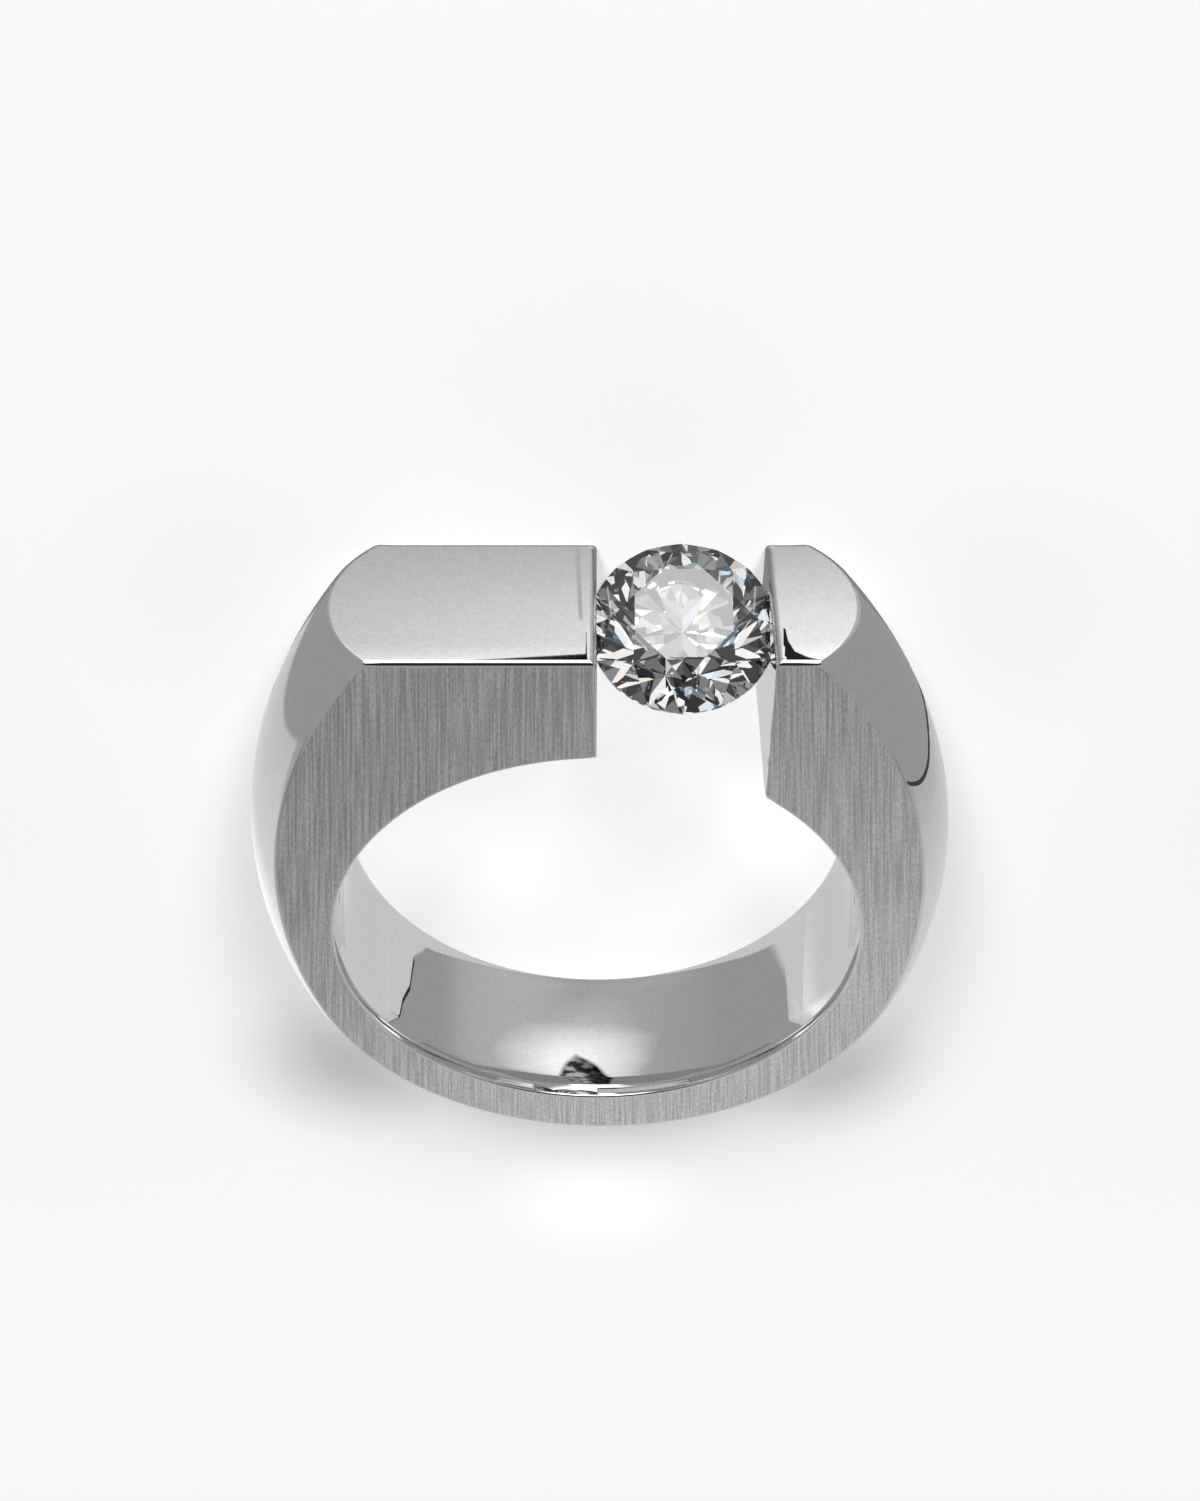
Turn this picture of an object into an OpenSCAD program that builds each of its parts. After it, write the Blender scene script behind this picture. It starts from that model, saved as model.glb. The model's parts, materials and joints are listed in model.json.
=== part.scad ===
// Tension set ring: a heavy crowned band, cut open at the top, whose two arms grip a round stone.
// The ring lies on its rear side face. X runs across the ring, the flat top looks towards -Y,
// and Z runs along the finger hole, with the front side face up. The origin is the hole's centre,
// halfway between the side faces. Each outline below is drawn upright, with the flat top towards +Y,
// and turned over at the end.

/* [Finger hole] */
// Diameter of the finger hole
bore_d = 19; // [18:0.25:20]
// How much the hole opens at each side face, on its radius
flare_rise = 0.13; // [0.05:0.01:0.3]
// How far the hole's rounded edge reaches in from each side face
flare_run = 0.9; // [0.5:0.05:1.5]

/* [Band] */
// Width of the band, from side face to side face
band_w = 6; // [5.5:0.1:7]
// Wall at the two sides of the hole, where the ring is widest, along a side face
side_wall = 2.05; // [1.8:0.05:2.5]
// Wall at the bottom of the hole, along a side face
base_wall = 2.2; // [2:0.05:3]
// Height of the metal over the hole, up to the flat top
top_wall = 4.45; // [4.2:0.05:5]
// Height of the ring's widest place above the hole's centre
waist_h = 1.8; // [1.5:0.1:3]
// Radius of the long arc up each side
flank_r = 19.3; // [18:0.1:22]
// Rise of the crowned outside between the two side faces
crown_rise = 1.17; // [0.8:0.01:1.4]
// Degrees that the outside leans over towards the long arm
lean = 2.6; // [0:0.1:4]
// Height above the hole's centre about which the outside leans
lean_h = 5; // [0:0.5:8]

/* [Gap] */
// Distance of the long arm's end face from the hole's middle plane
gap_start = 0; // [-0.5:0.1:0.5]
// Width of the gap between the two arms
gap_w = 5.7; // [5.5:0.05:5.9]

/* [Stone] */
// Diameter of the stone
stone_d = 6.2; // [6.1:0.05:6.4]
// Depth of the stone's girdle below the flat top
girdle_drop = 1.15; // [0.8:0.05:1.4]
// Degrees that the stone leans towards the front face
stone_lean = 22; // [0:1:25]
// Degrees that the stone is turned about its own axis
stone_turn = 22.5; // [0:0.5:45]
// Thickness of the girdle
girdle_t = 0.18; // [0.1:0.01:0.25]
// Diameter of the table, as a share of the stone's
table_share = 0.56; // [0.5:0.01:0.62]
// Slope of the main facets of the crown, in degrees
crown_slope = 36.5; // [32:0.5:38]
// Slope of the main facets of the pavilion, in degrees
pavilion_slope = 41; // [39:0.5:43]
// Length of the star facets, as a share of the way from table to girdle
star_share = 0.5; // [0.4:0.01:0.6]
// Length of the lower girdle facets, as a share of the way from girdle to culet
lower_share = 0.77; // [0.7:0.01:0.85]
// Clearance between the stone and its seats
seat_clear = 0.03; // [0.02:0.01:0.05]
// Slope of the seats' two walls, in degrees
seat_slope = 45; // [43:1:50]

/* [Hidden] */
$fn = 96;

bore_r = bore_d / 2;
half_w = band_w / 2;
top_h = bore_r + top_wall;

// Length by which a cut, or the metal that it trims, runs past the finished face
over = 1;

// The outline is three arcs, tangent where they meet: one under the hole and one up each side
waist_r = bore_r + side_wall;
flank_x = flank_r - waist_r;
base_low = bore_r + base_wall;
join_a = 90 - 2 * atan((flank_r - waist_h - base_low) / flank_x);
base_r = flank_r - flank_x / cos(join_a);
base_y = base_r - base_low;
flank_a = asin((top_h + over - waist_h) / flank_r);

// The outside and the hole's edges are arcs across the band's width
crown_r = (pow(half_w, 2) + pow(crown_rise, 2)) / (2 * crown_rise);
crown_a = asin(half_w / crown_r);
flare_r = (pow(flare_run, 2) + pow(flare_rise, 2)) / (2 * flare_rise);

// Flat steps of the outside, along each arc and across the width
base_steps = 36;
flank_steps = 28;
crown_steps = 12;

// The stone's heights are measured from the middle of its girdle
stone_r = stone_d / 2;
stone_x = gap_start + gap_w / 2;
stone_h = top_h - girdle_drop;
table_r = stone_r * table_share;
crown_h = (stone_r - table_r) * tan(crown_slope);
pavilion_h = stone_r * tan(pavilion_slope);
main_step = 45;
half_step = main_step / 2;
girdle_step = half_step / 2;

// Star facets run from a table edge to a tip on the line between two main facets
table_edge = table_r * cos(half_step);
star_r = table_edge + star_share * (stone_r - table_edge);
star_h = crown_h - tan(crown_slope) * (star_r * cos(half_step) - table_r);
star_slope = atan((crown_h - star_h) / (star_r - table_edge));
upper_slope = atan(star_h / ((stone_r - star_r) * cos(girdle_step)));

// Lower girdle facets run from the girdle to a tip on the line between two pavilion mains
lower_r = stone_r * (1 - lower_share);
lower_h = pavilion_h - tan(pavilion_slope) * lower_r * cos(half_step);
lower_slope = atan(lower_h / ((stone_r - lower_r) * cos(girdle_step)));

// Half the width of a cut that clears the whole ring
reach = 2 * waist_r;

// Points along an arc, from one angle up to the next one's start
function arc(x, y, r, from, to, steps) = [
    for (i = [0 : steps - 1])
        let (a = from + (to - from) * i / steps)
        [x + r * cos(a), y + r * sin(a)]
];

// The outline, pushed outwards by a distance, from the left arm down round the hole to the right arm
function outline(out) = concat(
    arc(flank_x, waist_h, flank_r + out, 180 - flank_a, 180 + join_a, flank_steps),
    arc(0, base_y, base_r + out, 180 + join_a, 360 - join_a, base_steps),
    arc(-flank_x, waist_h, flank_r + out, -join_a, flank_a, flank_steps)
);

// The outline at one step across the width, pushed out as far as the crown's arc rises there
function row(k) =
    let (
        a = crown_a * (2 * k / crown_steps - 1),
        out = crown_rise - crown_r * (1 - cos(a))
    )
    [for (p = outline(out)) [p[0], p[1], crown_r * sin(a)]];

// Skin of the crowned outside between the two side faces
module outside() {
    rows = [for (k = [0 : crown_steps]) row(k)];
    n = len(rows[0]);
    skin = [
        for (k = [0 : crown_steps - 1], i = [0 : n - 1])
            let (
                low = k * n,
                high = low + n,
                next = (i + 1) % n
            )
            each [[low + i, high + next, low + next], [low + i, high + i, high + next]]
    ];
    back = [for (i = [0 : n - 1]) i];
    front = [for (i = [n - 1 : -1 : 0]) crown_steps * n + i];
    polyhedron([for (points = rows) each points], concat(skin, [back, front]));
}

module leaning_outside() {
    translate([0, lean_h, 0])
        rotate([0, 0, lean])
            translate([0, -lean_h, 0])
                outside();
}

// Finger hole: a plain cylinder that opens along an arc at each side face
module finger_hole() {
    cylinder(h = band_w + 2 * over, r = bore_r, center = true);
    for (side = [0, 1])
        mirror([0, 0, side])
            translate([0, 0, half_w])
                flare();
}

// Ring of metal that the rounded edge takes off, with its widest end at the side face
module flare() {
    rotate_extrude()
        difference() {
            translate([bore_r - over, -flare_run])
                square([over + flare_rise, flare_run + over]);
            translate([bore_r + flare_r, -flare_run])
                circle(r = flare_r);
        }
}

// Puts a thing drawn about its own axis where the stone sits, leaning towards the front face
module at_stone() {
    translate([stone_x, stone_h, 0])
        rotate([stone_lean - 90, 0, 0])
            children();
}

// Two cones, base to base round the girdle, which notch the arms' end faces
module seats() {
    seat_r = stone_r + seat_clear;
    seat_t = girdle_t / 2 + seat_clear;
    seat_h = seat_t + seat_r * tan(seat_slope);
    rotate_extrude()
        polygon([[0, -seat_h], [seat_r, -seat_t], [seat_r, seat_t], [0, seat_h]]);
}

module band() {
    color("silver")
        rotate([0, 0, 180])
            difference() {
                leaning_outside();
                finger_hole();
                translate([-reach, top_h, -half_w - over])
                    cube([2 * reach, reach, band_w + 2 * over]);
                translate([gap_start, 0, -half_w - over])
                    cube([gap_w, reach, band_w + 2 * over]);
                at_stone()
                    seats();
            }
}

// Takes off what lies above a plane that meets the stone's side at height h and slopes up inwards
module facet(turn, slope, r, h) {
    rotate([0, 0, turn])
        translate([r, 0, h])
            rotate([0, slope, 0])
                translate([-stone_d, -stone_d, 0])
                    cube([2 * stone_d, 2 * stone_d, stone_d]);
}

// A round of facets, each a step on from the last
module facets(first, step, slope, r, h) {
    for (turn = [first : step : 359])
        facet(turn, slope, r, h);
}

module crown_facets() {
    facets(0, main_step, crown_slope, stone_r, 0);
    facets(half_step, main_step, star_slope, table_edge, crown_h);
    facets(girdle_step, half_step, upper_slope, stone_r * cos(girdle_step), 0);
}

module pavilion_facets() {
    facets(0, main_step, pavilion_slope, stone_r, 0);
    facets(girdle_step, half_step, lower_slope, stone_r * cos(girdle_step), 0);
}

module brilliant() {
    difference() {
        translate([0, 0, -girdle_t / 2 - pavilion_h])
            cylinder(h = pavilion_h + girdle_t + crown_h, r = stone_r);
        translate([0, 0, girdle_t / 2])
            crown_facets();
        translate([0, 0, -girdle_t / 2])
            mirror([0, 0, 1])
                pavilion_facets();
    }
}

module stone() {
    color("aliceblue")
        rotate([0, 0, 180])
            at_stone()
                rotate([0, 0, stone_turn])
                    brilliant();
}

band();
stone();
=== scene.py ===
"""Looks of the tension set ring: its polished and brushed band, its stone, and the studio round it."""

import json
import math

import bpy
import numpy as np
from mathutils import Matrix, Vector


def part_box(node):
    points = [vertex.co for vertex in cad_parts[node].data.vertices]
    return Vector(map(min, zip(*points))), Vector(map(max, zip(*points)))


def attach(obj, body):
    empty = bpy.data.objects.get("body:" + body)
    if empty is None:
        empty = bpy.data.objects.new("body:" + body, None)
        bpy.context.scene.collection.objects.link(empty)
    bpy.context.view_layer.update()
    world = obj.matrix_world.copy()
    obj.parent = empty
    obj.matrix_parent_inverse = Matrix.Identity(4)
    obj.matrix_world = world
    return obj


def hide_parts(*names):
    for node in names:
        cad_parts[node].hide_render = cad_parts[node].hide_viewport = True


MM = 0.001

# Sizes of the ring in millimetres and degrees, as in the part's source. The shapes are worked out
# upright: X to the short arm, Y up to the flat top, Z to the front face, from the hole's centre.
FLARE_RISE = 0.13
FLARE_RUN = 0.9
BASE_WALL = 2.2
SIDE_WALL = 2.05
TOP_WALL = 4.45
WAIST_H = 1.8
FLANK_R = 19.3
CROWN_RISE = 1.17
LEAN = math.radians(2.6)
LEAN_H = 5.0
GAP_START = 0.0
GAP_W = 5.7
STONE_D = 6.2
GIRDLE_DROP = 1.15
STONE_LEAN = math.radians(22)
GIRDLE_T = 0.18
SEAT_CLEAR = 0.03

# Radii of the edges' roundings, in millimetres
EDGE_TOP = 0.17
EDGE_END = 0.27
EDGE_SIDE = 0.05
EDGE_BORE = 0.06
EDGE_TIP = 0.14
EDGE_CREASE = 0.1
EDGE_SEAT = 0.02

# Widths over which a rounding's radius changes along its edge, in millimetres
BLEND_TOP = 0.8
BLEND_END = 0.5
BLEND_TIP = 0.6

# Distances from an edge at which rows of the mesh run beside it, in millimetres
BESIDE_EDGE = np.array([0, 0.015, 0.03, 0.05, 0.09, 0.13, 0.17, 0.21, 0.28, 0.38])
BESIDE_CREASE = np.array([0, 0.02, 0.04, 0.065, 0.09, 0.12, 0.17, 0.25, 0.4])

# The mesh elsewhere: rows across the width, columns under the hole, and the spacing of the columns
# along the flat top, in millimetres, and round the shoulders, in degrees
ROWS_ACROSS = 42
LOW_COLUMNS = 115
TOP_STEP = 0.28
TURN_STEP = 1.6

# Rows through the wall, which are closer from this share on, where the seats notch the end faces
SEAT_PART = 0.6
INNER_STEPS = 8
OUTER_STEPS = 17

# A small step for slopes, in millimetres, the least slope to divide by, and how often a point is
# moved towards its surface. The crease is first looked for at this share of the flat top's height.
NUDGE = 1e-5
LEAST_SLOPE = 1e-3
SEARCH_STEPS = 12
SETTLE_STEPS = 6
CREASE_GUESS = 0.6

# A distance that stands for a cut far away
NO_CUT = -9.0

# A face is brushed where its normals are this close to the side faces' own
FLAT = 0.9995

# The true arcs stand a hair outside the part's flat steps, so the ring is drawn in by this factor
DRAWN_IN = 0.9997

# The polished metal: clouds of roughness and a grain of shades, per metre, each by its least and most
CLOUD_SCALE = 260
GRAIN_SCALE = 9000
POLISH_ROUGH = (0.004, 0.016)
POLISH_SHADE = (0.79, 0.87)

# Lines and short scratches of the brushed faces, per metre across and along, how much they spread
# per metre, and the least and most of their roughness and shades
LINE_SCALE = (10500, 200)
SCRATCH_SCALE = (17000, 4500)
BRUSH_SPREAD = 9.83
BRUSH_ROUGH = (0.3, 0.42)
LINE_SHADE = (0.62, 0.92)
SCRATCH_SHADE = (0.82, 1.07)

# Values of each noise between which its least and most lie
NOISE_SPAN = (0.3, 0.7)
LINE_SPAN = (0.34, 0.66)
SCRATCH_SPAN = (0.32, 0.68)
PATCH_SPAN = (0.42, 0.62)

# The camera, by its place in millimetres round the lying ring, its tilt in degrees and its lens
CAMERA_AT = (-0.113, -56.057, 48.846)
CAMERA_TILT = 45.1
CAMERA_LENS = 47.2

# The studio is laid out round the upright ring, in millimetres: X to its short arm, Y away from the
# camera and Z up. The cards are seen only by the metal, which mirrors them.

# A level card under the ring: its light by distance from the hole's centre, its spots by X, Y, reach
# and gain, its edge by X, Y and softness, and its dark rim by first corner, width and light
TABLE_H = -12.86
TABLE_LIGHT = [(14, 0.7), (26, 0.76), (45, 0.66), (70, 0.58)]
TABLE_SPOTS = [(-17, 8, 13, 0.34), (0, 15, 18, -0.1)]
TABLE_EDGE = [
    (-80, -30, 6), (-74, 0, 6), (-71, 8, 5), (-67, 15, 5), (-61, 25, 5), (-57, 31, 5), (-50, 38, 5),
    (-42, 43, 5), (-28, 42, 5), (-8, 34, 3), (10, 28, 1), (20, 26, 0.3), (27, 27, 0.3), (33, 26, 0.3),
    (38, 24, 0.3), (42, 20, 0.3), (46, 13, 0.3), (50, 5, 0.3), (54, -2, 0.3), (62, -14, 0.3),
    (72, -30, 0.3),
]
TABLE_RIM = (11, 2.0, 0.06)

# How the table's light falls off towards the camera and towards the short arm: from, to, share left
TABLE_NEARER = [(0, 3, 0.84), (4, 26, 0.54)]
TABLE_ACROSS = [(0, 20, 0.88), (25, 50, 0.86)]

# Parts of the table with more or less light: from X to X, the gain at each, and the distances
# towards the camera at which the gain starts and is full
TABLE_PARTS = [(-12, 0, -0.18, 0, 0, 3), (2, 12, 0, 0.25, 5, 14)]

# A low card close behind the ring, its edge by X, Z and softness, its dark rim by last corner, width
# and light, and the height from which the rim widens
BACK_Y = 18
BACK_LIGHT = 0.65
BACK_EDGE = [
    (20, -13.5, 0.1), (18.2, -10.7, 0.1), (16.9, -10, 0.1), (15.9, -8.5, 0.1), (13.4, -7.9, 0.1),
    (12.9, -6.2, 0.4), (11, -4.9, 0.8), (8, -4.3, 1), (0, -4, 1),
    (-9, -4.2, 1.5), (-11.5, -5.6, 2), (-14, -8, 2), (-19.5, -14, 2),
]
BACK_RIM = (5, 0.5, 0.03)
BACK_MIDDLE = -14

# Pieces in front of a card stand this far ahead of it
AHEAD = 0.2

# A small bright card just behind the hole's foot and a patchy dark piece on it, by their edges in X
# and Z. The piece is darker on one side: from X to X, and the share of its light at the first.
FOOT_Y = 5.5
FOOT_LIGHT = 1.12
FOOT_EDGE = [
    (-0.7, -0.4), (-0.3, -1.5), (0.9, -2), (2.1, -1.4), (2.8, -0.4), (2.3, 1), (0.9, 1.5), (-0.4, 0.9),
]
FOOT_SOFT = 2.7
FOOT_SHADE_LIGHT = (0.03, 0.5)
PATCH_SCALE = 1900
FOOT_SHADE_SLOPE = (0, 0.8, 0.08)
FOOT_SHADE_SOFT = 0.3
FOOT_SHADE = [
    (0.6, -0.9), (1.2, 0), (1.7, 1), (1.9, 5), (1, 9), (-1.2, 9), (-0.8, 2), (-0.45, 0.9), (0, 0),
]

# Dark cards behind the arms and the hole's sides, which darken the hole's rounded front edge, by
# their place in Y and their edges in X and Z
ARM_LIGHT = 0.25
ARM_CARDS = [
    (8, [(-13, 5), (13, 5), (13, 17), (-13, 17)]),
    (5.5, [(9.5, -3.5), (13, -3.5), (13, 5.5), (8.5, 5.5), (9.6, 2), (9.9, 0)]),
    (5.5, [(-9.5, -3.5), (-13, -3.5), (-13, 5.5), (-8.5, 5.5), (-9.6, 2), (-9.9, 0)]),
]

# A soft box behind the ring and over it, by its limits in X and Z and the width of its soft edges.
# It is darker on one side, from X to X with the share of its light at the first, and brighter at its
# head, from Z to Z with the gain at the second.
BOX_Y = 44
BOX_LIGHT = 1.04
BOX_X = (-26, 27, 10)
BOX_Z = (42, 150, 16)
BOX_SLOPE = (-22, 14, 0.62)
BOX_HEAD = (55, 60, 2.0)

# Pieces in front of the soft box, by their light, the width of their soft edges, and their corners
BOX_PIECES = [
    (0.02, 0, [
        (11.3, 53.9), (11.75, 53.95), (12, 55), (12.5, 55.9), (13.4, 56.4), (14.8, 56.75), (11.3, 57),
    ]),
    (0.01, 0, [(-9.5, 56.75), (-0.8, 56.1), (-0.75, 54.2), (-0.4, 54.2), (-0.4, 56.85)]),
    (0.5, 0.5, [(-1.5, 45), (-1.2, 45), (-0.95, 53.2), (-1.2, 53.2)]),
]

# The walls' light, the least light anywhere, and soft lights far off: azimuth, elevation, inner and
# outer angle, and how much each adds
WALL_LIGHT = 0.345
LEAST_LIGHT = 0.01
LIGHTS = [
    (0, 92, 14, 26, 2.6),
    (36, 32, 6, 28, 0.11),
    (-25, 40, 8, 28, 0.04),
    (10, 30, 15, 45, 0.05),
    (180, 30, 10, 42, -0.33),
]

# What the stone sees: patches from dark to bright, tinted from cool to warm, and the directions in
# which they are calmer, as seen through its table, with the light there
SPARKLE_SCALE = 5.5
SPARKLE_SHARES = (0.45, 0.8)
SPARKLE_LIGHT = (0.015, 1.25)
COOL_TINT = (0.5, 0.72, 1, 1)
WARM_TINT = (1, 0.88, 0.76, 1)
MIDDLE_TINTS = [(0.12, (0.93, 0.97, 1, 1)), (0.95, (1, 1, 1, 1))]
CALM = (180, 68, 18, 36, 0.75)
CALM_LIGHT = 0.3

# What the camera sees past the floor
BACKDROP = 0.94

# The floor's own glow, round the lying ring: even on the whole floor; a painted rise of light away
# from the camera, from Y to Y with its gain; painted light inside the hole, which fills the arms'
# shadow there, by distance from its centre and from Y to Y; and soft spots by X, Y, reach and gain,
# painted shadows where the gain is below nought and painted light where it is above
FLOOR_HALF = 600
FLOOR_GLOW = 0.42
# A painted rise of light on the floor, away from the camera
FLOOR_PAINTED_RISE = (0, 45, 0.09)
# Painted light in the hole, which fills the shadow that the arms cast there
HOLE_PAINTED_LIGHT = 0.42
HOLE_RIM = (9.5, 13.5)
HOLE_SHADE = (-1.5, 8.5)
# Painted shadows on the floor where the gain is below nought, painted light where it is above
FLOOR_PAINTED_SPOTS = [
    (11.5, 16, 6.5, -0.23), (-10.4, 16.2, 6, -0.2), (0, 27, 6.5, 0.11), (-1, 0.5, 6, -0.2),
    (0.7, 4.5, 5, -0.07), (11, -11, 9, -0.06), (-12, -10, 9, -0.06), (0, -16, 13, -0.05),
]

# Two round lamps, one to each side, by their place and size in metres and their power in watts
LAMP_AT = (0.28, -0.83, 0.46)
LAMP_SIZE = 0.3
LAMP_POWER = 6.5


def smooth_max(a, b, r):
    """The larger of two distances, rounded by radius r where both are near nought."""
    u = np.maximum(r + a, 0)
    v = np.maximum(r + b, 0)
    return np.minimum(-r, np.maximum(a, b)) + np.hypot(u, v)


def metres(values):
    """Millimetres as metres."""
    return [v * MM for v in values]


def fade(x):
    """Smooth step from 0 to 1 as x goes from 0 to 1."""
    x = np.clip(x, 0, 1)
    return x * x * (3 - 2 * x)


class Ring:
    """Distances to the ring's surfaces, in millimetres, for upright points."""

    def __init__(self, bore_r, half_w):
        self.bore_r = bore_r
        self.half_w = half_w
        self.top = bore_r + TOP_WALL
        waist_r = bore_r + SIDE_WALL
        base_low = bore_r + BASE_WALL
        self.flank_x = FLANK_R - waist_r
        self.join = math.pi / 2 - 2 * math.atan((FLANK_R - WAIST_H - base_low) / self.flank_x)
        self.base_r = FLANK_R - self.flank_x / math.cos(self.join)
        self.base_y = self.base_r - base_low
        self.crown_r = (half_w**2 + CROWN_RISE**2) / (2 * CROWN_RISE)
        self.flare_r = (FLARE_RUN**2 + FLARE_RISE**2) / (2 * FLARE_RISE)
        self.starts = {-1: GAP_START, 1: GAP_START + GAP_W}
        self.stone_x = GAP_START + GAP_W / 2
        self.stone_h = self.top - GIRDLE_DROP
        self.seat_r = STONE_D / 2 + SEAT_CLEAR
        self.seat_t = GIRDLE_T / 2 + SEAT_CLEAR

    def outside(self, x, y, z):
        """Outside of the band: three arcs, which lean over, pushed out by the crown's arc."""
        c, s = math.cos(LEAN), math.sin(LEAN)
        dx, dy = x, y - LEAN_H
        u, v = np.abs(c * dx + s * dy), c * dy - s * dx + LEAN_H
        base = np.hypot(u, v - self.base_y) - self.base_r
        flank = np.hypot(u + self.flank_x, v - WAIST_H) - FLANK_R
        low = math.sin(self.join) * u + math.cos(self.join) * (v - self.base_y) < 0
        root = np.sqrt(self.crown_r**2 - z**2)
        rise = CROWN_RISE - self.crown_r + root
        return (np.where(low, base, flank) - rise) / np.sqrt(1 + (z / root) ** 2)

    def flare_run(self, z):
        """How far a height is past the start of the hole's rounded edge."""
        return np.maximum(np.abs(z) - self.half_w + FLARE_RUN, 0)

    def hole_r(self, z):
        """Radius of the finger hole, which opens at each side face."""
        return self.bore_r + self.flare_r - np.sqrt(self.flare_r**2 - self.flare_run(z) ** 2)

    def hole(self, x, y, z):
        """Wall of the finger hole, with its rounded edges."""
        run = self.flare_run(z)
        slope = run / np.sqrt(self.flare_r**2 - run**2)
        return (self.hole_r(z) - np.hypot(x, y)) / np.sqrt(1 + slope**2)

    def gap(self, x, y):
        """The cut between the two arms, which isn't there in the lower half."""
        return np.where(y > 0, np.minimum(x - self.starts[-1], self.starts[1] - x), NO_CUT)

    def seat_axes(self, y, z):
        """Places along the stone's axis and across it, towards the front."""
        c, s = math.cos(STONE_LEAN), math.sin(STONE_LEAN)
        return c * (y - self.stone_h) + s * z, c * z - s * (y - self.stone_h)

    def seats(self, x, y, z):
        """The stone's two seats, where a pair of cones notches the end faces."""
        along, across = self.seat_axes(y, z)
        out = np.hypot(x - self.stone_x, across) - self.seat_r
        return -np.maximum(out, (out + np.abs(along) - self.seat_t) * math.sqrt(0.5))

    def seat_depth(self, y, z):
        """How deep the seat's notch is in an end face."""
        along, across = self.seat_axes(y, z)
        r = self.seat_r - np.maximum(np.abs(along) - self.seat_t, 0)
        reach = np.sqrt(np.maximum(r**2 - across**2, 0))
        return np.maximum(reach - GAP_W / 2, 0)

    def distance(self, p):
        """Signed distance to the whole band, with every edge rounded."""
        x, y, z = p[..., 0], p[..., 1], p[..., 2]
        top = y - self.top
        side = np.abs(z) - self.half_w
        out = self.outside(x, y, z)
        hole = self.hole(x, y, z)
        rim = smooth_max(out, top, EDGE_CREASE)
        on_top = fade(0.5 + (top - out) / BLEND_TOP)
        body = smooth_max(rim, side, EDGE_SIDE + (EDGE_TOP - EDGE_SIDE) * on_top)
        at_rim = fade(0.5 + (rim - np.maximum(side, hole)) / BLEND_END)
        body = smooth_max(body, self.gap(x, y), EDGE_SIDE + (EDGE_END - EDGE_SIDE) * at_rim)
        at_tip = fade(1 + self.gap(x, y) / BLEND_TIP)
        body = smooth_max(body, hole, EDGE_BORE + (EDGE_TIP - EDGE_BORE) * at_tip)
        return smooth_max(body, self.seats(x, y, z), EDGE_SEAT)

    def gradient(self, p):
        """Direction in which the distance grows, which is the surface's normal."""
        slopes = []
        for k in range(3):
            step = np.zeros(3)
            step[k] = 10 * NUDGE
            slopes.append((self.distance(p + step) - self.distance(p - step)) / (20 * NUDGE))
        return np.stack(slopes, -1)

    def settle(self, p):
        """Moves points near the surface onto it."""
        for _ in range(SETTLE_STEPS):
            g = self.gradient(p)
            p = p - g * (self.distance(p) / np.maximum((g**2).sum(-1), LEAST_SLOPE**2))[..., None]
        return p

    def on_ray(self, angle, z):
        """Outer points where rays from the hole's axis meet the crowned outside."""
        c, s = np.cos(angle), np.sin(angle)
        r = np.full(z.shape, self.bore_r + SIDE_WALL)
        for _ in range(SEARCH_STEPS):
            f = self.outside(r * c, r * s, z)
            r = r - f * NUDGE / (self.outside((r + NUDGE) * c, (r + NUDGE) * s, z) - f)
        return np.c_[r * c, r * s, z]

    def crease(self, z, side):
        """X of the line where the flat top meets the outside."""
        x = np.full(z.shape, side * CREASE_GUESS * self.top)
        y = np.full(z.shape, self.top)
        for _ in range(SEARCH_STEPS):
            f = self.outside(x, y, z)
            x = x - f * NUDGE / (self.outside(x + NUDGE, y, z) - f)
        return x

    def on_top(self, share, z, side):
        """Points of the flat top at a share of the way from an arm's end face to the crease."""
        x = self.starts[side] + share * (self.crease(z, side) - self.starts[side])
        return np.c_[x, np.full(z.shape, self.top), z]

    def on_hole(self, angle, z):
        """Points of the hole's wall at one angle."""
        r = self.hole_r(z)
        return np.c_[r * math.cos(angle), r * math.sin(angle), z]


def across_rows(half_w):
    """Places across the band's width, from front to rear, closest together by the side faces."""
    near = half_w - BESIDE_EDGE
    return np.r_[near, np.linspace(near[-1], -near[-1], ROWS_ACROSS)[1:-1], -near[::-1]]


def wall_shares(length):
    """Shares of the way from the hole to the outer edge, for a wall of that thickness."""
    spare = length - 2 * BESIDE_EDGE[-1]
    inner = np.linspace(0, SEAT_PART, INNER_STEPS + 1)[1:]
    outer = np.linspace(SEAT_PART, 1, OUTER_STEPS + 1)[1:-1]
    shares = np.r_[inner, outer]
    made = [BESIDE_EDGE, BESIDE_EDGE[-1] + spare * shares, length - BESIDE_EDGE[::-1]]
    return np.concatenate(made) / length


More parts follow.
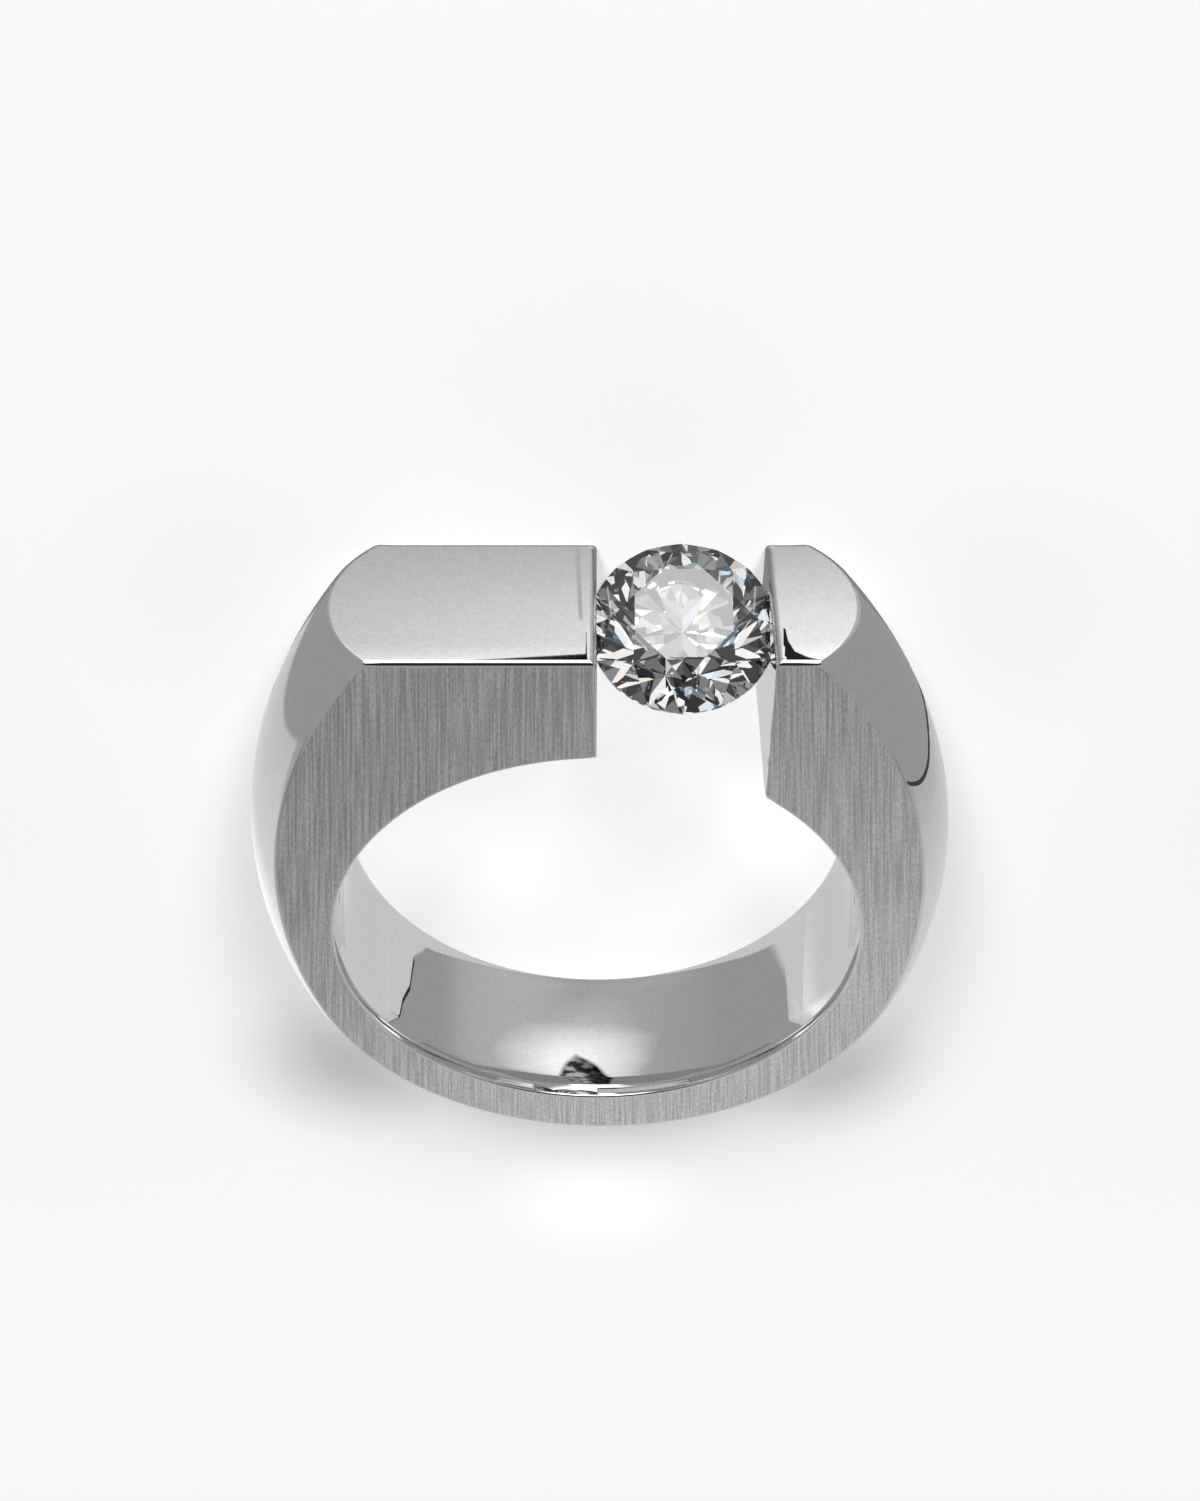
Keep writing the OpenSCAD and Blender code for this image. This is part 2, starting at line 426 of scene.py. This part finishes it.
def arm_columns(ring, side, zs):
    """Inner and outer points of each column of the mesh, from an arm's end face to its waist."""
    start = ring.starts[side]
    crease = ring.crease(zs, side)
    span = abs(crease[0] - start)

    # Distances of the columns from the end face, along the flat top's front edge
    flat_end, bend_end = BESIDE_EDGE[-1], span - BESIDE_CREASE[-1]
    spaces = round((bend_end - flat_end) / TOP_STEP)
    flat = np.r_[
        BESIDE_EDGE, np.linspace(flat_end, bend_end, spaces + 1)[1:-1], span - BESIDE_CREASE[::-1]
    ]

    # Angle of the crease, and the one on the hole that goes with it. The short arm's end face meets
    # the hole further round than it meets the flat top, so there the hole's angles are drawn in.
    corner = math.atan2(ring.top, crease[0])
    last = corner
    if side > 0:
        last *= math.acos(start / ring.bore_r) / math.atan2(ring.top, start)

    # Next to the end face the hole's points keep pace with the flat top's, so that the columns there
    # run straight along it
    reach = ring.bore_r * math.cos(last) - start
    ease = span / abs(reach)
    hole = np.arccos((start + reach * (1 - (1 - flat / span) ** ease)) / ring.bore_r)
    made = [(ring.on_hole(h, zs), ring.on_top(f / span, zs, side)) for h, f in zip(hole, flat)]

    # Round the shoulder the columns go by the angle from the crease, and follow its bend across the
    # width less and less towards the waist
    waist = math.pi if side < 0 else 0.0
    far = abs(waist - corner)
    turn = BESIDE_CREASE[1:] / ring.top
    steps = round((far - turn[-1]) / math.radians(TURN_STEP))
    turn = np.r_[turn, np.linspace(turn[-1], far, steps)[1:]]
    bent = np.arctan2(ring.top, crease) - corner
    for t in turn:
        angle = corner - side * t
        at_hole = angle if side < 0 else angle * last / corner
        outer = ring.on_ray(angle + (1 - fade(t / far)) * bent, zs)
        made.append((ring.on_hole(at_hole, zs), outer))
    return made


def band_loops(cols):
    """A closed loop of points round the band's section, for each column."""
    loops = []
    for inner, outer in cols:
        shares = wall_shares(np.linalg.norm(outer[0] - inner[0]))[:, None]
        front = inner[0] + shares * (outer[0] - inner[0])
        rear = inner[-1] + shares * (outer[-1] - inner[-1])
        loops.append(np.concatenate([front, outer[1:], rear[::-1][1:], inner[::-1][1:-1]]))
    return loops


def skin_faces(n_c, n_p):
    """Faces between neighbouring loops, for a number of columns and of points in each."""
    faces = []
    for c in range(n_c - 1):
        a, b = c * n_p, (c + 1) * n_p
        for i in range(n_p):
            j = (i + 1) % n_p
            faces.append((a + i, a + j, b + j, b + i))
    return faces


def place_in_loop(v, w, n_v, n_w):
    """Place in a loop of row v of the wall and row w across, or None inside an end face."""
    if w == 0:
        return v
    if v == n_v - 1:
        return n_v - 1 + w
    if w == n_w - 1:
        return n_v + n_w - 2 + n_v - 1 - v
    if v == 0:
        return 2 * n_v + n_w - 3 + n_w - 1 - w
    return None


def end_face(ring, side, column, first, made):
    """Inner points of an arm's end face, notched by its seat, and its faces. The column's points
    are numbered from first, and the new ones from made."""
    inner, outer = column
    shares = wall_shares(np.linalg.norm(outer[0] - inner[0]))
    n_v, n_w = len(shares), len(inner)
    where = np.empty((n_v, n_w), int)
    extra = []
    for v in range(n_v):
        for w in range(n_w):
            at = place_in_loop(v, w, n_v, n_w)
            if at is None:
                where[v, w] = made + len(extra)
                p = inner[w] + shares[v] * (outer[w] - inner[w])
                p[0] += side * ring.seat_depth(p[1], p[2])
                extra.append(p)
            else:
                where[v, w] = first + at
    faces = []
    for v in range(n_v - 1):
        for w in range(n_w - 1):
            quad = (where[v, w], where[v + 1, w], where[v + 1, w + 1], where[v, w + 1])
            faces.append(quad if side > 0 else quad[::-1])
    return extra, faces


def band_mesh(ring):
    """Points, normals and faces of the band, upright and in millimetres."""
    zs = across_rows(ring.half_w)
    low = np.linspace(math.pi, 2 * math.pi, LOW_COLUMNS)[1:-1]
    cols = arm_columns(ring, -1, zs)
    cols += [(ring.on_hole(a, zs), ring.on_ray(a, zs)) for a in low]
    cols += arm_columns(ring, 1, zs)[::-1]

    loops = band_loops(cols)
    points = np.concatenate(loops)
    n_p = len(loops[0])
    faces = skin_faces(len(loops), n_p)
    for col, side in ((0, -1), (len(loops) - 1, 1)):
        extra, quads = end_face(ring, side, cols[col], col * n_p, len(points))
        points = np.concatenate([points, extra])
        faces += quads

    points = ring.settle(points)
    normals = ring.gradient(points)
    normals /= np.linalg.norm(normals, axis=1)[:, None]
    faces = np.array(faces)
    a, b, d = points[faces[:, 0]], points[faces[:, 1]], points[faces[:, 3]]
    inward = (np.cross(b - a, d - a) * normals[faces].sum(1)).sum(1) < 0
    faces[inward] = faces[inward][:, ::-1]
    return points, normals, faces


def lay_down(v):
    """Turns upright places or directions into those of the ring lying on its rear face."""
    return np.c_[-v[:, 0], -v[:, 1], v[:, 2]]


def add_object(name, data):
    """A new object, placed in the scene."""
    made = bpy.data.objects.new(name, data)
    bpy.context.scene.collection.objects.link(made)
    return made


def band_object(ring):
    """The band as one mesh, brushed on its two flat side faces and polished elsewhere."""
    points, normals, faces = band_mesh(ring)
    points = lay_down(points) * (DRAWN_IN, DRAWN_IN, 1) * MM
    normals = lay_down(normals)
    mesh = bpy.data.meshes.new("band_shaped")
    mesh.from_pydata(points.tolist(), [], faces.tolist())
    mesh.materials.append(polished_metal())
    mesh.materials.append(brushed_metal())
    flat = np.abs(normals[faces][:, :, 2]).min(1) > FLAT
    mesh.polygons.foreach_set("material_index", flat.astype(np.int32))
    mesh.polygons.foreach_set("use_smooth", np.ones(len(faces), bool))
    mesh.normals_split_custom_set_from_vertices(normals.tolist())
    mesh.update()
    band = add_object("band_shaped", mesh)
    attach(band, "root")
    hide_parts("band")


class Nodes:
    """A short way to write a node tree."""

    def __init__(self, tree):
        self.tree = tree
        tree.nodes.clear()

    def add(self, kind, inputs=(), **settings):
        node = self.tree.nodes.new(kind)
        for name, value in settings.items():
            setattr(node, name, value)
        for name, value in dict(inputs).items():
            socket = node.inputs[name]
            if isinstance(value, bpy.types.NodeSocket):
                self.tree.links.new(value, socket)
            else:
                socket.default_value = value
        return node

    def place(self):
        """Place on the object, in metres."""
        return self.add("ShaderNodeTexCoord").outputs["Object"]

    def math(self, operation, a, b=0.0, c=0.0):
        node = self.add("ShaderNodeMath", {0: a, 1: b, 2: c}, operation=operation)
        return node.outputs[0]

    def remap(self, value, low, high, to_low, to_high, smooth=True):
        node = self.add(
            "ShaderNodeMapRange",
            {"Value": value, "From Min": low, "From Max": high, "To Min": to_low, "To Max": to_high},
            interpolation_type="SMOOTHSTEP" if smooth else "LINEAR",
        )
        return node.outputs["Result"]


def material(name):
    """A new material, and its empty node tree."""
    made = bpy.data.materials.new(name)
    made.use_nodes = True
    return made, Nodes(made.node_tree)


def finish_surface(n, shader):
    n.add("ShaderNodeOutputMaterial", {"Surface": shader.outputs[0]})


def finish_metal(n, shade, rough):
    """Ends a metal's nodes with its shade of grey and its roughness."""
    color = n.add("ShaderNodeCombineColor", {"Red": shade, "Green": shade, "Blue": shade})
    shader = n.add(
        "ShaderNodeBsdfPrincipled",
        {"Base Color": color.outputs[0], "Metallic": 1.0, "Roughness": rough},
    )
    finish_surface(n, shader)


def polished_metal():
    """Metal like a mirror, with faint clouds and a fine grain."""
    made, n = material("polished_metal")
    place = n.place()
    cloud = n.add("ShaderNodeTexNoise", {"Vector": place, "Scale": CLOUD_SCALE, "Detail": 2.0})
    rough = n.remap(cloud.outputs["Fac"], *NOISE_SPAN, *POLISH_ROUGH)
    grain = n.add("ShaderNodeTexNoise", {"Vector": place, "Scale": GRAIN_SCALE, "Detail": 1.0})
    shade = n.remap(grain.outputs["Fac"], *NOISE_SPAN, *POLISH_SHADE, smooth=False)
    finish_metal(n, shade, rough)
    return made


def brushed_metal():
    """Metal with fine straight lines and short scratches, which spread a little towards the foot."""
    made, n = material("brushed_metal")
    xyz = n.add("ShaderNodeSeparateXYZ", {0: n.place()})
    spread = n.math("MULTIPLY_ADD", xyz.outputs["Y"], BRUSH_SPREAD, 1.0)
    across = n.math("DIVIDE", xyz.outputs["X"], spread)
    grid = n.add("ShaderNodeCombineXYZ", {"X": across, "Y": xyz.outputs["Y"]}).outputs[0]

    def streaks(scale):
        stretched = n.add("ShaderNodeMapping", {"Vector": grid, "Scale": (*scale, 0)})
        noise = n.add(
            "ShaderNodeTexNoise",
            {"Vector": stretched.outputs[0], "Scale": 1.0, "Detail": 1.0, "Roughness": 0.8},
            noise_dimensions="2D",
        )
        return noise.outputs["Fac"]

    lines = streaks(LINE_SCALE)
    rough = n.remap(lines, *NOISE_SPAN, *BRUSH_ROUGH)
    shade = n.remap(lines, *LINE_SPAN, *LINE_SHADE, smooth=False)
    scratch = n.remap(streaks(SCRATCH_SCALE), *SCRATCH_SPAN, *SCRATCH_SHADE, smooth=False)
    finish_metal(n, n.math("MULTIPLY", shade, scratch), rough)
    return made


def clear_stone():
    """Clear stone that bends light as a diamond does, with weak reflections on its facets."""
    made, n = material("clear_stone")
    shader = n.add(
        "ShaderNodeBsdfPrincipled",
        {
            "Base Color": (1, 1, 1, 1),
            "Roughness": 0.0,
            "IOR": 2.42,
            "Transmission Weight": 1.0,
            "Specular IOR Level": 0.2,
        },
    )
    finish_surface(n, shader)
    return made


def round_spot(n, place, centre, reach, value):
    """Value at a spot's centre, which falls to nought at a distance in millimetres."""
    away = n.add("ShaderNodeVectorMath", {0: place, 1: centre}, operation="DISTANCE")
    return n.remap(away.outputs["Value"], 0.0, reach * MM, value, 0.0)


def floor_painted_light(n, height):
    """The floor's own glow, painted light which evens out its shadows, with painted shadows in spots.
    """
    place = n.place()
    far = n.add("ShaderNodeVectorMath", {0: place}, operation="LENGTH").outputs["Value"]
    along = n.add("ShaderNodeSeparateXYZ", {0: place}).outputs["Y"]
    # Painted light inside the hole, which fills the shadow that the arms cast there from the lamps
    in_hole = n.remap(far, *metres(HOLE_RIM), 1.0, 0.0)
    painted_fill_share = n.math("MULTIPLY", in_hole, n.remap(along, *metres(HOLE_SHADE), 1.0, 0.0))
    light = n.math("MULTIPLY_ADD", painted_fill_share, HOLE_PAINTED_LIGHT, FLOOR_GLOW)
    # A painted rise of light on the floor, away from the camera
    start, end, value = FLOOR_PAINTED_RISE
    more = n.remap(along, *metres((start, end)), 0.0, value, smooth=False)
    light = n.math("ADD", light, more)
    # Soft spots of painted shadow, and of painted light where the gain is above nought
    for x, y, reach, value in FLOOR_PAINTED_SPOTS:
        spot = Vector((x, y, height / MM)) * MM
        light = n.math("ADD", light, round_spot(n, place, spot, reach, value))
    return light


def floor_object(height):
    """A pale floor under the ring, which neither the metal nor the stone shows."""
    half = FLOOR_HALF * MM
    ends = ((-half, -half), (half, -half), (half, half), (-half, half))
    mesh = bpy.data.meshes.new("floor")
    mesh.from_pydata([(x, y, height) for x, y in ends], [], [(0, 1, 2, 3)])
    made, n = material("floor")
    paint = n.add("ShaderNodeBsdfDiffuse", {"Color": (0.8, 0.8, 0.8, 1)})
    # The glow holds the floor's painted light and painted shadows
    glow = n.add("ShaderNodeEmission", {"Color": (1, 1, 1, 1), "Strength": floor_painted_light(n, height)})
    both = n.add("ShaderNodeAddShader", {0: paint.outputs[0], 1: glow.outputs[0]})
    finish_surface(n, both)
    mesh.materials.append(made)
    floor = add_object("floor", mesh)
    floor.visible_glossy = False
    floor.visible_transmission = False


def camera_object():
    """The camera, which looks down at the flat top and the front side face."""
    data = bpy.data.cameras.new("camera")
    data.sensor_width = 36
    data.lens = CAMERA_LENS
    data.clip_start = MM
    cam = add_object("camera", data)
    tilt = math.radians(CAMERA_TILT)
    right = Vector((-1, 0, 0))
    up = Vector((0, -math.cos(tilt), -math.sin(tilt)))
    turned = Matrix((right, up, right.cross(up))).transposed().to_4x4()
    cam.matrix_world = Matrix.Translation(Vector(CAMERA_AT) * MM) @ turned
    bpy.context.scene.camera = cam


def upright(azimuth, elevation):
    """A direction seen from the upright ring, behind it at azimuth 0, as one round the lying ring."""
    a, e = math.radians(azimuth), math.radians(elevation)
    return Vector((-math.cos(e) * math.sin(a), -math.sin(e), -math.cos(e) * math.cos(a)))


def lobe(n, way, azimuth, elevation, inner, outer, value):
    """Soft round light: its full value within the inner angle, in degrees, and nought at the outer."""
    centre = upright(azimuth, elevation)
    towards = n.add("ShaderNodeVectorMath", {0: way, 1: centre}, operation="DOT_PRODUCT")
    near, far = math.cos(math.radians(inner)), math.cos(math.radians(outer))
    return n.remap(towards.outputs["Value"], far, near, 0.0, value)


def lying(x, y, z):
    """A place round the upright ring, in millimetres, as one round the lying ring in metres."""
    return Vector((-x, -z, -y)) * MM


def card(name, corners, softness, made):
    """Flat card that only the metal mirrors, and whose light fades out across each soft corner."""
    centre = sum(corners, Vector()) / len(corners)
    ways = [(c - centre).normalized() * soft * MM / 2 for c, soft in zip(corners, softness)]
    count = len(corners)
    points = [c - w for c, w in zip(corners, ways)] + [c + w for c, w in zip(corners, ways)]
    faces = [tuple(range(count))]
    if max(softness) > 0:
        after = [(i + 1) % count for i in range(count)]
        faces += [(i, after[i], after[i] + count, i + count) for i in range(count)]
    mesh = bpy.data.meshes.new(name)
    mesh.from_pydata(points, [], faces)
    glow = mesh.attributes.new("glow", "FLOAT", "POINT")
    glow.data.foreach_set("value", [1.0] * count + [0.0] * count)
    mesh.materials.append(made)
    placed = add_object(name, mesh)
    placed.visible_camera = False
    placed.visible_diffuse = False
    placed.visible_transmission = False
    placed.visible_shadow = False


def card_light(name, strength=0.0):
    """Light of a card. The strength is a number, or is set later from the nodes that come back."""
    made, n = material(name)
    share = n.add("ShaderNodeAttribute", attribute_name="glow").outputs["Fac"]
    glow = n.add("ShaderNodeEmission", {"Strength": strength})
    clear = n.add("ShaderNodeBsdfTransparent")
    mixed = n.add("ShaderNodeMixShader", {0: share, 1: clear.outputs[0], 2: glow.outputs[0]})
    finish_surface(n, mixed)
    return made, n, glow, mixed


def rim_corners(edge, centre, width):
    """Outline of a narrow strip along the outside of a part of a card's edge."""
    return edge + [p + (p - centre).normalized() * width * MM for p in reversed(edge)]


def table_light():
    """Light of the card under the ring, which changes from place to place."""
    made, n, glow, _ = card_light("table_light")
    place = n.place()
    far = n.add("ShaderNodeVectorMath", {0: place}, operation="LENGTH").outputs["Value"]
    light = TABLE_LIGHT[0][1]
    for (start, first), (end, last) in zip(TABLE_LIGHT, TABLE_LIGHT[1:]):
        more = n.remap(far, *metres((start, end)), 0.0, last - first, smooth=False)
        light = n.math("ADD", more, light)
    for x, y, reach, value in TABLE_SPOTS:
        light = n.math("ADD", light, round_spot(n, place, lying(x, y, TABLE_H), reach, value))
    xyz = n.add("ShaderNodeSeparateXYZ", {0: place})
    nearer = xyz.outputs["Z"]
    across = n.math("MULTIPLY", xyz.outputs["X"], -1.0)
    for way, falls in ((nearer, TABLE_NEARER), (across, TABLE_ACROSS)):
        for start, end, value in falls:
            share = n.remap(way, *metres((start, end)), 1.0, value)
            light = n.math("MULTIPLY", light, share)
    for x0, x1, gain0, gain1, start, end in TABLE_PARTS:
        more = n.remap(across, *metres((x0, x1)), gain0, gain1)
        more = n.math("MULTIPLY", more, n.remap(nearer, *metres((start, end)), 0.0, 1.0))
        light = n.math("MULTIPLY", light, n.math("ADD", more, 1.0))
    n.tree.links.new(light, glow.inputs["Strength"])
    return made


def table_card():
    """The level card under the ring, and the dark rim along a part of its edge."""
    corners = [lying(x, y, TABLE_H) for x, y, _ in TABLE_EDGE]
    card("table_card", corners, [soft for _, _, soft in TABLE_EDGE], table_light())
    first, width, value = TABLE_RIM
    rim = rim_corners(corners[first:], lying(0, 0, TABLE_H), width)
    card("table_rim", rim, [0] * len(rim), card_light("table_rim_light", value)[0])


def back_card():
    """The low card behind the ring, and the dark rim along a part of its edge."""
    corners = [lying(x, BACK_Y, z) for x, z, _ in BACK_EDGE]
    softness = [soft for _, _, soft in BACK_EDGE]
    card("back_card", corners, softness, card_light("back_light", BACK_LIGHT)[0])
    last, width, value = BACK_RIM
    rim = rim_corners(corners[:last], lying(0, BACK_Y, BACK_MIDDLE), width)
    card("back_rim", rim, [0] * len(rim), card_light("back_rim_light", value)[0])


def foot_shade_light():
    """Light of the dark piece at the hole's foot: patchy, and darker towards one side."""
    made, n, glow, _ = card_light("foot_shade_light")
    place = n.place()
    patches = n.add("ShaderNodeTexNoise", {"Vector": place, "Scale": PATCH_SCALE, "Detail": 2.0})
    light = n.remap(patches.outputs["Fac"], *PATCH_SPAN, *FOOT_SHADE_LIGHT)
    x = n.math("MULTIPLY", n.add("ShaderNodeSeparateXYZ", {0: place}).outputs["X"], -1.0)
    start, end, value = FOOT_SHADE_SLOPE
    light = n.math("MULTIPLY", light, n.remap(x, *metres((start, end)), value, 1.0))
    n.tree.links.new(light, glow.inputs["Strength"])
    return made


def foot_cards():
    """The bright card behind the hole's foot, with its dark piece."""
    corners = [lying(x, FOOT_Y, z) for x, z in FOOT_EDGE]
    bright = card_light("foot_light", FOOT_LIGHT)[0]
    card("foot_card", corners, [FOOT_SOFT] * len(corners), bright)
    corners = [lying(x, FOOT_Y - AHEAD, z) for x, z in FOOT_SHADE]
    card("foot_shade", corners, [FOOT_SHADE_SOFT] * len(corners), foot_shade_light())


def arm_cards():
    """The dark cards behind the arms and the hole's sides."""
    dark = card_light("arm_light", ARM_LIGHT)[0]
    for y, edge in ARM_CARDS:
        card("arm_card", [lying(x, y, z) for x, z in edge], [0] * len(edge), dark)


def box_light():
    """Light of the soft box, which fades out across its soft edges."""
    made, n, glow, mixed = card_light("box_light", BOX_LIGHT)
    xyz = n.add("ShaderNodeSeparateXYZ", {0: n.place()})
    x = n.math("MULTIPLY", xyz.outputs["X"], -1.0)
    z = n.math("MULTIPLY", xyz.outputs["Y"], -1.0)
    left, right, soft_x = metres(BOX_X)
    foot, _, soft_z = metres(BOX_Z)
    share = n.remap(z, foot, foot + soft_z, 0.0, 1.0)
    share = n.math("MULTIPLY", share, n.remap(x, left, left + soft_x, 0.0, 1.0))
    share = n.math("MULTIPLY", share, n.remap(x, right - soft_x, right, 1.0, 0.0))
    n.tree.links.new(share, mixed.inputs[0])
    start, end, value = BOX_SLOPE
    light = n.remap(x, *metres((start, end)), value * BOX_LIGHT, BOX_LIGHT, smooth=False)
    start, end, value = BOX_HEAD
    light = n.math("MULTIPLY", light, n.remap(z, *metres((start, end)), 1.0, value))
    n.tree.links.new(light, glow.inputs["Strength"])
    return made


def soft_box():
    """The soft box over the ring, and the pieces in front of it."""
    (left, right, _), (foot, head, _) = BOX_X, BOX_Z
    limits = [(left, foot), (right, foot), (right, head), (left, head)]
    card("soft_box", [lying(x, BOX_Y, z) for x, z in limits], [0] * len(limits), box_light())
    for value, soft, edge in BOX_PIECES:
        corners = [lying(x, BOX_Y - AHEAD, z) for x, z in edge]
        card("box_piece", corners, [soft] * len(edge), card_light("box_piece_light", value)[0])


def wall_light(n, way):
    """Grey walls with soft lights all round."""
    light = WALL_LIGHT
    for spec in LIGHTS:
        light = n.math("ADD", lobe(n, way, *spec), light)
    light = n.math("MAXIMUM", light, LEAST_LIGHT)
    return n.add("ShaderNodeBackground", {"Color": (1, 1, 1, 1), "Strength": light})


def sparkle_light(n, way):
    """The studio broken up into dark and bright patches, as a cut stone shows it."""
    cells = n.add("ShaderNodeTexVoronoi", {"Vector": way, "Scale": SPARKLE_SCALE}, feature="F1")
    spread = n.add("ShaderNodeSeparateColor", {0: cells.outputs["Color"]})
    broken = n.remap(spread.outputs["Red"], *SPARKLE_SHARES, *SPARKLE_LIGHT)
    calm = lobe(n, way, *CALM)
    even = n.math("MULTIPLY", n.math("SUBTRACT", CALM_LIGHT, broken), calm)
    broken = n.math("ADD", broken, even)
    tint = n.add("ShaderNodeValToRGB", {0: spread.outputs["Green"]})
    ramp = tint.color_ramp.elements
    ramp[0].color = COOL_TINT
    ramp[1].color = WARM_TINT
    for at, color in MIDDLE_TINTS:
        ramp.new(at).color = color
    return n.add("ShaderNodeBackground", {"Color": tint.outputs[0], "Strength": broken})


def studio():
    """What lies all round, for the metal, for the stone and for the camera."""
    world = bpy.data.worlds.new("studio")
    bpy.context.scene.world = world
    world.use_nodes = True
    world.cycles_visibility.diffuse = False
    n = Nodes(world.node_tree)
    way = n.add("ShaderNodeTexCoord").outputs["Generated"]
    way = n.add("ShaderNodeVectorMath", {0: way}, operation="NORMALIZE").outputs[0]
    pale = n.add("ShaderNodeBackground", {"Color": (1, 1, 1, 1), "Strength": BACKDROP})
    ray = n.add("ShaderNodeLightPath")
    sky = wall_light(n, way)
    for seen_by, light in (
        ("Is Transmission Ray", sparkle_light(n, way)),
        ("Is Camera Ray", pale),
    ):
        mixed = {0: ray.outputs[seen_by], 1: sky.outputs[0], 2: light.outputs[0]}
        sky = n.add("ShaderNodeMixShader", mixed)
    n.add("ShaderNodeOutputWorld", {"Surface": sky.outputs[0]})


def floor_lights():
    """Two soft lights over the floor, which the metal doesn't mirror."""
    for side in (-1, 1):
        data = bpy.data.lights.new("over_floor", "AREA")
        data.shape = "DISK"
        data.size = LAMP_SIZE
        data.energy = LAMP_POWER
        lamp = add_object("over_floor", data)
        lamp.location = Vector((side * LAMP_AT[0], *LAMP_AT[1:]))
        lamp.rotation_euler = (-lamp.location).to_track_quat("-Z", "Y").to_euler()
        lamp.visible_glossy = False
        lamp.visible_transmission = False


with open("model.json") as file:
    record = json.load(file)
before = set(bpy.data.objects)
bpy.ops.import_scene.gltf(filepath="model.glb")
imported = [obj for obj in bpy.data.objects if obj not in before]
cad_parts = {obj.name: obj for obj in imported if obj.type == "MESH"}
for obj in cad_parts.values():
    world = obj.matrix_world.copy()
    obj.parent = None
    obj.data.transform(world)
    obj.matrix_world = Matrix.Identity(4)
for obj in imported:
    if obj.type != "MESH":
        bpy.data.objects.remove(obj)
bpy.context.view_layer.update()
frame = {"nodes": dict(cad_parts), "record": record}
hole = next(m for m in frame["record"]["mounts"] if m["name"] == "finger_hole")
low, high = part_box("band")
ring = Ring(hole["dims"]["r_mm"], (high.z - low.z) / 2 / MM)

scene = bpy.context.scene
scene.view_settings.view_transform = "Standard"
camera_object()
floor_object(low.z)
studio()
table_card()
back_card()
foot_cards()
arm_cards()
soft_box()
floor_lights()
band_object(ring)
stone = frame["nodes"]["stone"]
stone.data.materials.clear()
stone.data.materials.append(clear_stone())
